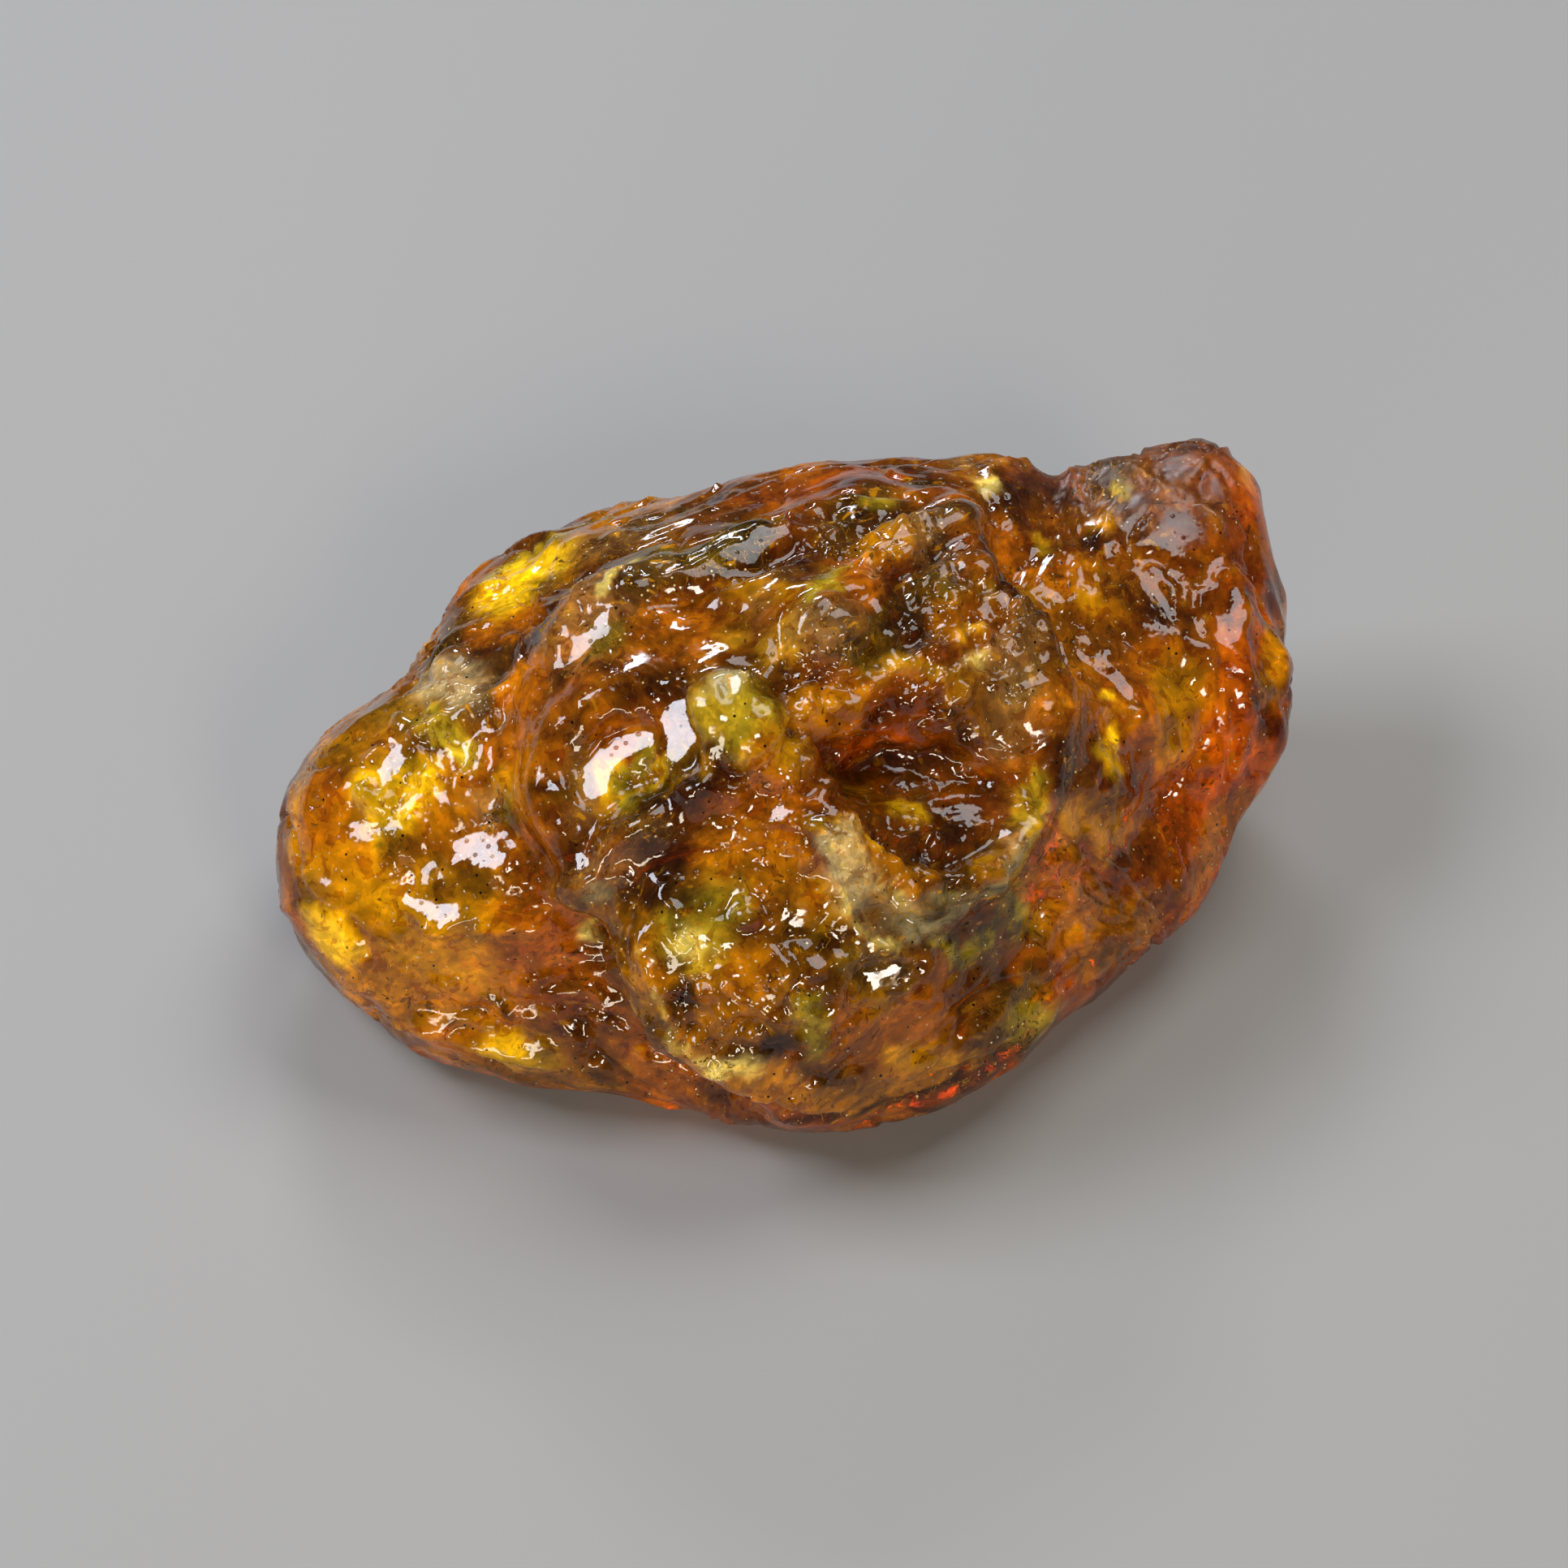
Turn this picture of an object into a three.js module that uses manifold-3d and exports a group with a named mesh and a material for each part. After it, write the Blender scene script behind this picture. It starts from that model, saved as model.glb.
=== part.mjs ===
// A rough piece of raw amber, one solid lump of hardened resin.
//
// The lump is a smooth blend of rounded lobes, the separate flows that the resin ran in. Relief is raised or
// sunk on them along paths: folds, creases, bubbles, a glassy pocket and a bowl. The underside is worn flat
// where the lump rests.
//
// Millimetres, +Z up. The origin is below the middle of the lump, on the resting plane. +X runs along its
// length, from the golden lobe to the knob, and -Y is the side with the overhanging fold.
import * as THREE from "three";
import Module from "manifold-3d";
import { mergeVertices } from "three/addons/utils/BufferGeometryUtils.js";

// ---------------------------------------------------------------- driving dimensions

const LENGTH = 84; // over all, along X
const WIDTH = 56; // over all, along Y
const HEIGHT = 38; // over all, along Z, from the resting plane
const WORN_AWAY = 1.5; // what wear has taken off the rounded underside
const EDGE_CUTS = 21; // cuts of each icosahedron edge: the surface has 20 * (cuts + 1)^2 triangles
const BLEND = 5; // how softly two lobes run into each other
const CENTRE = new THREE.Vector3(1, -3, 19); // every point of the surface is seen from here

// ---------------------------------------------------------------- the flows

// Each lobe is an ellipsoid: a centre, half sizes, and a turn about Z in degrees.
const LOBES = {
  heart: { at: [2, 2, 17.5], half: [30, 23, 19], turn: 0 },
  crown: { at: [2, -2, 28], half: [19, 14, 9.5], turn: -12 },
  golden_lobe: { at: [-23.5, 6.5, 12.5], half: [14.5, 14.5, 12.5], turn: 10 },
  golden_foot: { at: [-18.5, -4.5, 7], half: [15, 9, 8], turn: -30 },
  front_foot: { at: [-8, -12, 5], half: [9, 7, 5.5], turn: -20 },
  back_shoulder: { at: [-8.5, 15.5, 17], half: [13, 12.5, 13.5], turn: 0 },
  back_ridge: { at: [12, 13, 23.5], half: [23, 10, 9.5], turn: -3 },
  right_flank: { at: [29, 3, 14.5], half: [15, 14, 14], turn: 0 },
  right_shoulder: { at: [37.5, 8, 18.5], half: [9, 8, 9], turn: 0 },
  right_foot: { at: [20, -7, 8.5], half: [15, 11.5, 9], turn: 30 },
  knob: { at: [39.5, 11, 25.8], half: [6, 5.5, 5.5], turn: 0 },
  front_fold: { at: [-3, -15, 17], half: [14, 11, 10], turn: 10 },
  lower_front: { at: [5, -12, 8], half: [18, 13.5, 9], turn: 18 },
};

// ---------------------------------------------------------------- the relief

// Each stretch of relief follows a path over the lumps. rise is its height at the middle, or its depth where
// it is negative, and spread is how far from the path it has faded to a third of that.
const RELIEF = {
  // creases and hollows of the side with the fold, and of the top
  golden_crease: {
    rise: -2.6,
    spread: 3,
    path: [[-12, 19, 31], [-17, 10, 31], [-20, 1, 30], [-22, -7, 26], [-21, -13, 20]],
  },
  fold_undercut: { rise: -3.4, spread: 3.4, path: [[-21, -14, 18], [-18, -19, 12], [-13, -22, 7]] },
  crown_crease: { rise: -2.4, spread: 2.8, path: [[22, 8, 33], [22, 1, 33], [23, -3, 31], [28, -5, 28]] },
  flank_crease: { rise: -1.8, spread: 2.6, path: [[33, 3, 28], [32, -5, 26], [31, -9, 21], [26, -13, 16]] },
  pocket: { rise: -4.6, spread: 4.4, path: [[4, -13, 33], [8, -14, 31], [11, -14, 29]] },
  bowl: { rise: -2.4, spread: 3, path: [[-15, -7, 31], [-12, -8, 32]] },
  // folds and rims there
  pocket_rim: {
    rise: 2.2,
    spread: 3,
    path: [[17, 8, 34], [17, 0, 35], [19, -6, 33], [17, -13, 29], [12, -18, 25]],
  },
  pocket_sill: { rise: 1.8, spread: 2.4, path: [[-2, -15, 31], [3, -19, 27], [9, -20, 24]] },
  fold_lip: {
    rise: 2.4,
    spread: 2.8,
    path: [[-12, -16, 26], [-15, -17, 22], [-15, -20, 16], [-11, -24, 12], [-5, -26, 10]],
  },
  crown_fold: { rise: 1.8, spread: 2.6, path: [[9, 0, 38], [14, 3, 36], [20, 7, 32]] },
  back_fold: { rise: 1.8, spread: 2.8, path: [[-10, 6, 34], [-3, 3, 37], [5, 6, 37], [12, 11, 34]] },
  bowl_brow: { rise: 1.8, spread: 2.4, path: [[-20, -7, 28], [-16, -3, 32], [-11, -3, 34]] },
  golden_ridge: { rise: 1.6, spread: 2.6, path: [[-34, 6, 22], [-28, 9, 25], [-21, 8, 28]] },
  // bubbles that have swollen under the skin of the top
  bubble: { rise: 2.8, spread: 3.2, path: [[-6, -7, 36], [-6, -8, 36]] },
  second_bubble: { rise: 2.4, spread: 3.4, path: [[3, -3, 38], [4, -3, 38]] },
  // the side away from the fold, and the two ends
  rear_crease: { rise: -2.4, spread: 3, path: [[-21, 22, 18], [-17, 25, 10], [-10, 26, 5]] },
  rear_hollow: { rise: -2.6, spread: 4.6, path: [[9, 26, 11], [17, 24, 10], [25, 19, 11]] },
  rear_lip: {
    rise: 2,
    spread: 2.8,
    path: [[33, 15, 22], [24, 21, 20], [13, 25, 19], [4, 26, 21], [-3, 26, 25]],
  },
  knob_crease: { rise: -2, spread: 2.6, path: [[30, 17, 27], [34, 18, 21], [38, 15, 15], [42, 8, 14]] },
  heel_crease: { rise: -2, spread: 3, path: [[-30, 18, 20], [-36, 12, 15], [-38, 4, 9]] },
  end_fold: { rise: 1.6, spread: 3, path: [[38, -4, 20], [36, -9, 12], [29, -14, 8]] },
};

// ---------------------------------------------------------------- how far out the surface is

const fromCentre = (point) => new THREE.Vector3(...point).sub(CENTRE);

// Distance from a point to a lobe, negative inside. It is close enough near the surface.
function lobeDistance(lobe, point) {
  const local = point.clone().sub(new THREE.Vector3(...lobe.at));
  local.applyAxisAngle(new THREE.Vector3(0, 0, 1), -THREE.MathUtils.degToRad(lobe.turn));
  const half = new THREE.Vector3(...lobe.half);
  const reach = local.divide(half).length();
  return (reach * (reach - 1)) / Math.max(local.divide(half).length(), 1e-9);
}

// The smaller of two distances, rounded where they are within BLEND of each other.
function smoothMin(a, b) {
  const share = Math.max(BLEND - Math.abs(a - b), 0) / BLEND;
  return Math.min(a, b) - (share * share * BLEND) / 4;
}

function lumpsDistance(point) {
  const distances = Object.values(LOBES).map((lobe) => lobeDistance(lobe, point));
  return distances.reduce(smoothMin);
}

// The point where the blended lobes end in a direction from CENTRE, found by halving.
function lumpsEdge(direction) {
  const middle = new THREE.Vector3();
  let inside = 0;
  let outside = LENGTH;
  while (outside - inside > 0.01) {
    const reach = (inside + outside) / 2;
    middle.copy(CENTRE).addScaledVector(direction, reach);
    if (lumpsDistance(middle) > 0) outside = reach;
    else inside = reach;
  }
  return middle.clone();
}

// A path's points, each moved along its line from CENTRE onto the lobes, joined by straight stretches.
function laidOnLumps(path) {
  const points = path.map((point) => lumpsEdge(fromCentre(point).normalize()));
  return points.slice(1).map((point, i) => new THREE.Line3(points[i], point));
}

const laidRelief = Object.values(RELIEF).map((piece) => ({ ...piece, stretches: laidOnLumps(piece.path) }));

function distanceTo(stretch, point) {
  return stretch.closestPointToPoint(point, true, new THREE.Vector3()).distanceTo(point);
}

// How far the relief raises the lobes at a point on them. It is negative in creases and hollows.
function reliefAt(point) {
  let total = 0;
  for (const { rise, spread, stretches } of laidRelief) {
    const away = Math.min(...stretches.map((stretch) => distanceTo(stretch, point)));
    total += rise * Math.exp(-((away / spread) ** 2));
  }
  return total;
}

// ---------------------------------------------------------------- the solid

// A ball's points moved out to the lump. evenSpacing leans their directions towards the long ends, so that
// the triangles come out about the same size all over.
function lumpSurface() {
  const evenSpacing = new THREE.Vector3(Math.sqrt(LENGTH), Math.sqrt(WIDTH), Math.sqrt(HEIGHT));
  const ball = new THREE.IcosahedronGeometry(1, EDGE_CUTS);
  ball.deleteAttribute("normal");
  ball.deleteAttribute("uv");
  const surface = mergeVertices(ball, 1e-5);
  const place = surface.getAttribute("position");
  const direction = new THREE.Vector3();
  for (let i = 0; i < place.count; i += 1) {
    direction.fromBufferAttribute(place, i);
    direction.multiply(evenSpacing).normalize();
    const edge = lumpsEdge(direction);
    edge.addScaledVector(direction, reliefAt(edge));
    place.setXYZ(i, ...edge.toArray());
  }
  return surface;
}

// Stretches a surface to the overall size, with its lowest point WORN_AWAY below the resting plane.
function toOverallSize(surface) {
  surface.computeBoundingBox();
  const { min, max } = surface.boundingBox;
  const made = max.clone().sub(min);
  surface.translate(-(min.x + max.x) / 2, -(min.y + max.y) / 2, -min.z);
  surface.scale(LENGTH / made.x, WIDTH / made.y, (HEIGHT + WORN_AWAY) / made.z);
  surface.translate(0, 0, -WORN_AWAY);
  return surface;
}

const wasm = await Module();
wasm.setup();

function solidOf(geometry) {
  const vertProperties = new Float32Array(geometry.getAttribute("position").array);
  const triVerts = new Uint32Array(geometry.index.array);
  return new wasm.Manifold(new wasm.Mesh({ numProp: 3, vertProperties, triVerts }));
}

function geometryOf(solid) {
  const { vertProperties, triVerts } = solid.getMesh();
  const geometry = new THREE.BufferGeometry();
  geometry.setAttribute("position", new THREE.BufferAttribute(vertProperties, 3));
  geometry.setIndex(new THREE.BufferAttribute(triVerts, 1));
  geometry.computeVertexNormals();
  return geometry;
}

// Everything below the resting plane, a little larger than the lump all round.
function wear() {
  const block = new THREE.BoxGeometry(LENGTH * 1.1, WIDTH * 1.1, 2 * WORN_AWAY);
  block.deleteAttribute("normal");
  block.deleteAttribute("uv");
  return mergeVertices(block.translate(0, 0, -WORN_AWAY), 1e-5);
}

const worn = solidOf(toOverallSize(lumpSurface())).subtract(solidOf(wear()));
const amber = new THREE.MeshStandardMaterial({ color: 0xb4640f, roughness: 0.18, metalness: 0 });
const nugget = new THREE.Mesh(geometryOf(worn), amber);
nugget.name = "amber_nugget";

const part = new THREE.Group();
part.add(nugget);
export default part;
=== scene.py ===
import math

import bmesh
import bpy
import numpy as np
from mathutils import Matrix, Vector, noise
from mathutils.bvhtree import BVHTree


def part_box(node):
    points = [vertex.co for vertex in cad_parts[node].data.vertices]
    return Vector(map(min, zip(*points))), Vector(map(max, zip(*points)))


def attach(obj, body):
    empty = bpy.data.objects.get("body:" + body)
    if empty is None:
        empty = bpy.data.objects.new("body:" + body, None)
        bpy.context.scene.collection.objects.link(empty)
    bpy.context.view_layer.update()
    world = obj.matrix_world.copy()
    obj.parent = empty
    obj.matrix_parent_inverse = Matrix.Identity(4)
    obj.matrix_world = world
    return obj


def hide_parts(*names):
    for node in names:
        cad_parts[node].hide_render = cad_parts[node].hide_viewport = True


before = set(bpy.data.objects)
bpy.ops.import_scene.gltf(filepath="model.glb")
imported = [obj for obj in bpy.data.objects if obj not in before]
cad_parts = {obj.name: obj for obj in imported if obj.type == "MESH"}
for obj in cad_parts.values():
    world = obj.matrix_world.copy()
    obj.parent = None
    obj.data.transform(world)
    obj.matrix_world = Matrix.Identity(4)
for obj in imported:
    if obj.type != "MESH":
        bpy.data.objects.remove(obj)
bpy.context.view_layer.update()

MM = 0.001

# ---- driving values

CAMERA_AZIMUTH = -20  # degrees from looking along +Y
CAMERA_ELEVATION = 45
CAMERA_DISTANCE = 332
CAMERA_TARGET = (-3.0, -0.6, 16.2)
CAMERA_LENS = 100
SENSOR_WIDTH = 36

# Soft panels of light that face the object: azimuth, elevation, distance and size in metres, power in
# watts, and colour.
COOL = (0.86, 0.9, 1.0)
LIGHTS = {
    "behind": (170, 36, 0.8, (0.2, 0.1), 1.6, COOL),
    "above": (115, 66, 0.75, (0.45, 0.4), 3.0, (1.0, 1.0, 1.0)),
    "left": (-115, 48, 0.8, (0.4, 0.3), 5.6, COOL),
    "front": (0, 34, 0.9, (0.2, 0.16), 2.8, (1.0, 0.92, 0.8)),
    "low_front": (-35, 12, 0.9, (0.4, 0.12), 2.7, (1.0, 0.88, 0.7)),
}
ROOM_COLOUR = (0.9, 0.93, 1.0, 1.0)
ROOM_STRENGTH = 0.06
FLOOR_COLOUR = (0.29, 0.285, 0.275, 1.0)
FLOOR_ROUGHNESS = 0.75
FLOOR_HALF = 1.5  # metres, from the middle to each side

VOXEL = 0.4  # size of the skin's faces
SMOOTHING = 36  # rounds that take the solid's facets away
SMOOTHING_STEP = 0.5  # how far each round takes a point towards its neighbours
FADE_IN = (0.1, 1.6)  # the relief fades in between these heights above the resting plane
BOX_SHARE = 0.999  # how much of the solid's box the skin may fill
SEED = 7

# ---- the colours

# Each shade has a colour of 0 to 255, and how milky it is, from 0, clear, to 1, solid.
SHADES = {
    # the next shade is painted light: a bright yellow for light glowing through and glinting inside the
    # amber
    "sun": ((255, 196, 22), 0.8),
    "gold": ((226, 152, 9), 0.5),
    "honey": ((188, 115, 8), 0.5),
    "glow": ((240, 150, 8), 0.35),
    "orange": ((214, 116, 3), 0.4),
    "fire": ((222, 98, 2), 0.45),
    "ember": ((166, 84, 5), 0.3),
    "rust": ((134, 73, 8), 0.45),
    "wine": ((84, 43, 6), 0.25),
    "mauve": ((120, 88, 50), 0.7),
    "salmon": ((180, 98, 20), 0.6),
    "olive": ((100, 86, 20), 0.6),
    "smoke": ((56, 46, 18), 0.7),
    "pitch": ((24, 15, 5), 0.8),
    "cream": ((212, 190, 96), 0.9),
    "lime": ((190, 162, 36), 0.6),
    "crust": ((196, 140, 28), 0.8),
    "ash": ((160, 146, 104), 0.8),
}

# Paths that more than one table follows.
FOLD_RIM = [(-21, -18, 24), (-21, -21, 21), (-20, -23, 17), (-17, -25, 14)]
POCKET_SILL = [(-3, -19, 28), (0, -21, 26), (3, -21, 25), (6, -20, 24)]
SILL_EDGE = [(-5, -19, 28), (-6, -22, 24), (-5, -23, 23), (-3, -24, 21)]

# Flows of colour: a shade, how far it spreads, the path that it follows, and how strong it is where that
# isn't the usual.
# Flows in the bright yellow shade are painted light: glows where light comes through, and glints.
USUAL_STRENGTH = 0.8
FLOWS = [
    # the glow round the foot
    ("fire", 9, [(-28, -10, 6), (-10, -22, 4), (12, -18, 4), (28, -10, 8), (36, 0, 12)], 0.7),
    # the golden lobe
    ("honey", 6, [(-34, 14, 20), (-30, 8, 25), (-33, 0, 22), (-34, -8, 14)], 0.9),
    ("olive", 3, [(-31, 10, 25), (-28, 6, 26)], 0.6),
    ("gold", 4, [(-37, 8, 22), (-39, 4, 20)], 0.9),
    ("gold", 3.5, [(-36, -4, 18), (-37, -2, 16)], 0.9),
    ("rust", 2.5, [(-26, 16, 23), (-21, 18, 26)]),
    ("smoke", 2, [(-25, 14, 25), (-24, 16, 25)]),
    ("lime", 1.2, [(-20, 19, 26), (-14, 21, 27)], 0.9),
    ("orange", 2.2, [(-22, 11, 27), (-19, 11, 28)], 1),
    ("sun", 3.3, [(-19, 16, 27), (-16, 17, 27)], 1),
    ("wine", 1.5, [(-24, 10, 27), (-21, 7, 28)]),
    ("ash", 2.5, [(-27, 12, 25), (-25, 6, 27)], 0.7),
    ("smoke", 2, [(-23, 5, 28), (-23, 1, 27)]),
    ("smoke", 2.2, [(-28, 3, 26), (-25, 3, 27)], 0.7),
    ("lime", 1.1, [(-29, 6, 26), (-27, 1, 25)]),
    ("orange", 2.4, [(-37, 6, 22), (-38, 4, 20)]),
    ("sun", 2.4, [(-34, 3, 23), (-32, 2, 24), (-34, 0, 22)], 0.9),
    ("wine", 2.2, [(-34, -2, 21), (-32, -5, 21)]),
    ("ember", 1.8, [(-31, -4, 21), (-31, -6, 20)]),
    ("gold", 4.5, [(-33, -6, 18), (-31, -8, 17)], 1),
    ("glow", 3.4, [(-37, -5, 13), (-32, -8, 13), (-29, -10, 14)], 0.9),
    ("gold", 1.6, [(-35, -6, 15), (-31, -9, 14)]),
    ("sun", 2, [(-39, -3, 13), (-40, -1, 14)]),
    ("olive", 2.6, [(-40, -2, 9), (-38, -5, 8)], 0.7),
    ("gold", 3, [(-29, -8, 20), (-30, -9, 18)]),
    ("glow", 3.8, [(-38, -4, 8), (-33, -9, 7), (-28, -13, 6), (-24, -16, 5)], 0.95),
    ("orange", 1.6, [(-34, -8, 7), (-31, -11, 7)]),
    ("sun", 2.4, [(-29, -13, 8), (-27, -13, 8)], 0.9),
    ("olive", 1.8, [(-27, -11, 15)], 0.9),
    ("pitch", 0.9, [(-34, -8, 10), (-31, -11, 9)], 0.9),
    ("pitch", 0.9, [(-31, -10, 12), (-29, -11, 11)], 0.9),
    # under the golden crease
    ("rust", 3, [(-24, -10, 24), (-23, -12, 17), (-22, -14, 13)]),
    ("orange", 3.4, [(-25, -9, 22), (-26, -11, 17), (-25, -12, 14)]),
    ("rust", 3.5, [(-26, -13, 12), (-24, -15, 9), (-21, -16, 8)], 0.9),
    ("orange", 1.6, [(-22, -17, 12), (-20, -21, 8), (-17, -23, 6)], 0.9),
    ("cream", 1.1, [(-22, -11, 17)], 0.9),
    ("cream", 0.9, [(-23, -14, 13)], 0.9),
    ("orange", 2.4, [(-22, 4, 29), (-23, -3, 28), (-24, -8, 25)], 0.7),
    # the back of the crown
    ("rust", 6, [(-15, 9, 33), (-4, 9, 35), (5, 8, 35)], 0.75),
    ("wine", 3, [(-16, 11, 32), (-9, 8, 34)], 0.6),
    ("fire", 2.2, [(0, 15, 32), (6, 15, 33), (12, 14, 32)], 0.6),
    ("mauve", 3.5, [(-11, 16, 30), (-8, 16, 31)]),
    ("mauve", 3.6, [(-18, 3, 33), (-15, 6, 34), (-10, 8, 34)], 0.7),
    ("wine", 2, [(-13, 5, 36)]),
    ("olive", 2.6, [(-10, 10, 33), (-6, 6, 36), (-2, 10, 34)]),
    ("lime", 1.2, [(-5, 10, 34), (-3, 9, 34)], 0.9),
    ("smoke", 2.4, [(-12, 5, 36), (-7, 6, 37), (-2, 6, 37)]),
    ("pitch", 1.7, [(-10, 2, 36), (-8, 3, 37), (-5, 3, 37), (-2, 4, 37)], 0.85),
    ("cream", 0.7, [(-15, 6, 35), (-11, 10, 33)], 0.7),
    ("ember", 2.4, [(0, 4, 36), (2, 6, 36)]),
    ("ember", 2.6, [(6, 12, 34), (2, 15, 32)]),
    ("smoke", 1.9, [(9, 11, 34), (5, 8, 35), (2, 4, 36)]),
    ("gold", 2.2, [(7, 3, 35), (5, 2, 36)], 0.7),
    ("lime", 1.1, [(8, 9, 34)], 0.9),
    ("smoke", 1.8, [(13, 12, 32)]),
    ("salmon", 1.6, [(14, 7, 35)]),
    ("cream", 1.3, [(18, 12, 30)]),
    # the crown
    ("rust", 2.5, [(-8, 0, 36)]),
    ("rust", 1.6, [(-7, -3, 36), (-3, -3, 37), (-1, -2, 38)]),
    ("orange", 3, [(-14, -2, 35), (-12, 0, 35), (-10, -3, 35)]),
    ("rust", 2, [(-15, -5, 35), (-17, -2, 34)]),
    ("olive", 1.8, [(-16, 2, 34)]),
    ("pitch", 1.6, [(-20, 1, 32)]),
    ("rust", 2.8, [(-17, -5, 34), (-15, -6, 34)], 0.7),
    ("orange", 1.6, [(-22, -2, 32), (-23, -6, 29)]),
    ("crust", 1.5, [(-8, -3, 36), (-10, -3, 36)], 0.9),
    ("crust", 1.5, [(-4, -5, 36), (-5, -6, 36)], 0.9),
    ("olive", 4.4, [(-10, -9, 36), (-8, -12, 34)], 0.6),
    ("lime", 2.8, [(-10.5, -10, 35.5), (-8.5, -12, 34)], 0.7),
    ("gold", 1.8, [(-9, -14, 33), (-6, -12, 34)]),
    ("ash", 2, [(-10.5, -7.8, 37)], 0.75),
    ("pitch", 0.5, [(-13.5, -8, 35.5), (-13.5, -11, 34)], 0.6),
    ("crust", 1.0, [(-14.5, -8, 35), (-14.5, -12, 33), (-11, -15, 32), (-7, -15, 32)], 0.95),
    ("mauve", 3, [(-1, -6, 37)], 0.9),
    ("smoke", 1.9, [(1, -7, 35), (0, -8, 35)]),
    ("mauve", 3, [(11, 4, 35), (13, 2, 35), (10, 1, 35)], 0.9),
    ("pitch", 0.8, [(6, -2, 36), (9, -1, 35)]),
    ("orange", 2.2, [(13, 2, 35), (13, 0, 35)]),
    ("honey", 1.8, [(11, -3, 34), (9, -5, 34)]),
    ("lime", 1.2, [(1, 0, 37), (-2, -3, 38)], 0.9),
    ("ash", 1.1, [(4, -1, 37)]),
    ("olive", 1.5, [(3, -6, 36), (9, -2, 35)]),
    ("wine", 1.8, [(5, -6, 35), (7, -5, 35)]),
    ("rust", 3.4, [(12, -5, 34), (13, -2, 34), (11, -8, 33)]),
    ("crust", 0.9, [(12, -3, 34), (9, -7, 34)]),
    ("cream", 1.3, [(9, -9, 33)], 0.7),
    # the bowl and the knee in front of it
    ("orange", 2.6, [(-18, -6, 30), (-14, -8, 32)]),
    ("sun", 1.1, [(-20, -6, 30), (-19, -9, 28), (-16, -9, 29), (-13, -11, 32)], 0.9),
    ("lime", 1.2, [(-18, -8, 28), (-18, -11, 28), (-16, -7, 30)], 1),
    ("wine", 2.4, [(-17, -12, 28), (-13, -12, 31), (-13, -14, 30)]),
    ("mauve", 2.4, [(-23, -11, 21), (-21, -13, 25), (-18, -13, 27)]),
    ("ash", 1.1, [(-22, -14, 24)], 0.7),
    ("wine", 2.4, [(-18, -16, 26), (-16, -16, 27)]),
    # the pocket and its rims
    ("orange", 3.2, [(-10, -15, 30), (-13, -18, 26)]),
    ("olive", 1.9, [(1, -9, 34), (3, -8, 34)]),
    ("crust", 0.8, [(0, -9, 34), (3, -8, 34), (5, -9, 33)]),
    ("honey", 1.9, [(-1, -10, 33), (-3, -10, 33), (-5, -10, 34)]),
    ("crust", 1.0, [(-7, -18, 30), (-4, -18, 29)]),
    ("ember", 3.4, [(5, -17, 25), (2, -18, 26), (1, -11, 31), (3, -12, 30)], 0.9),
    ("wine", 1.8, [(7, -16, 26), (4, -18, 25)], 0.7),
    ("wine", 1.2, [(0, -11, 31), (2, -11, 31)]),
    ("fire", 2, [(-1, -12, 29), (2, -13, 29), (4, -14, 28)], 0.9),
    # a painted golden glint in the pocket
    ("sun", 1.7, [(1, -16, 27), (1.6, -15, 27.5)], 1),
    (
        "ash",
        1.8,
        [(-5, -19, 28), (-5, -22, 25), (-2, -23, 23), (2, -23, 22), (5, -23, 22), (9, -20, 23)],
        1,
    ),
    ("smoke", 0.5, [(-2, -23, 24), (2, -23, 22.5), (6, -22, 22.5)], 0.7),
    ("honey", 1.3, POCKET_SILL, 1),
    ("crust", 0.6, POCKET_SILL, 0.9),
    ("lime", 1.3, [(8, -20, 22), (10, -18, 24), (11, -16, 26)]),
    ("mauve", 2.4, [(15, -6, 33), (12, -9, 32), (10, -13, 29)], 0.7),
    # the overhanging fold
    ("honey", 3, [(-10, -18, 27), (-13, -16, 28)]),
    ("orange", 4, [(-14, -22, 22), (-11, -25, 20), (-6, -26, 16), (0, -25, 15)], 0.7),
    ("rust", 2, [(-14, -22, 23), (-11, -25, 21)], 0.6),
    ("honey", 2.6, [(-16, -23, 21), (-12, -23, 22), (-16, -24, 19), (-13, -25, 19)]),
    ("olive", 2.4, [(-6, -25, 21), (-4, -25, 19)], 0.7),
    ("mauve", 1.8, [(-4, -22, 24), (-4, -24, 21)], 0.6),
    ("pitch", 1.6, [(-10, -22, 24), (-8, -23, 23)], 0.85),
    ("orange", 1.3, [(-8, -21, 25)]),
    ("lime", 2.6, [(-18, -20, 24), (-17, -20, 23), (-15, -19, 25)], 0.9),
    ("cream", 1.3, [(-18, -20, 24), (-17, -20, 23)], 0.6),
    ("honey", 1.6, FOLD_RIM),
    ("glow", 2.6, [(-15, -26, 13), (-11, -28, 11), (-5, -27, 9), (2, -26, 10), (8, -23, 10)], 0.9),
    ("cream", 1.4, [(-15, -26, 15), (-17, -25, 15)], 0.9),
    ("lime", 1.5, [(-10, -26, 20), (-10, -27, 16)], 0.95),
    ("wine", 1.6, [(-13, -26, 17)]),
    ("gold", 1.2, [(-4, -26, 13), (-1, -26, 11)], 0.9),
    ("lime", 1, [(1, -23, 20), (3, -23, 17), (5, -22, 17)], 0.95),
    ("orange", 4, [(-20, -20, 6), (-12, -23, 4), (0, -23, 3), (12, -18, 3)], 0.9),
    ("ember", 1.6, [(-18, -21, 4), (-6, -24, 3), (6, -22, 3)]),
    ("pitch", 0.8, [(-16, -25, 8), (-8, -27, 8), (-1, -26, 7), (5, -24, 8)], 0.9),
    ("orange", 1.2, [(-18, -22, 7), (-12, -25, 6), (-4, -25, 5)], 0.9),
    # painted pale lines of light where a rim is thin and light shines through its edge
    ("cream", 0.5, FOLD_RIM, 0.6),
    ("cream", 0.5, SILL_EDGE, 0.7),
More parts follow.
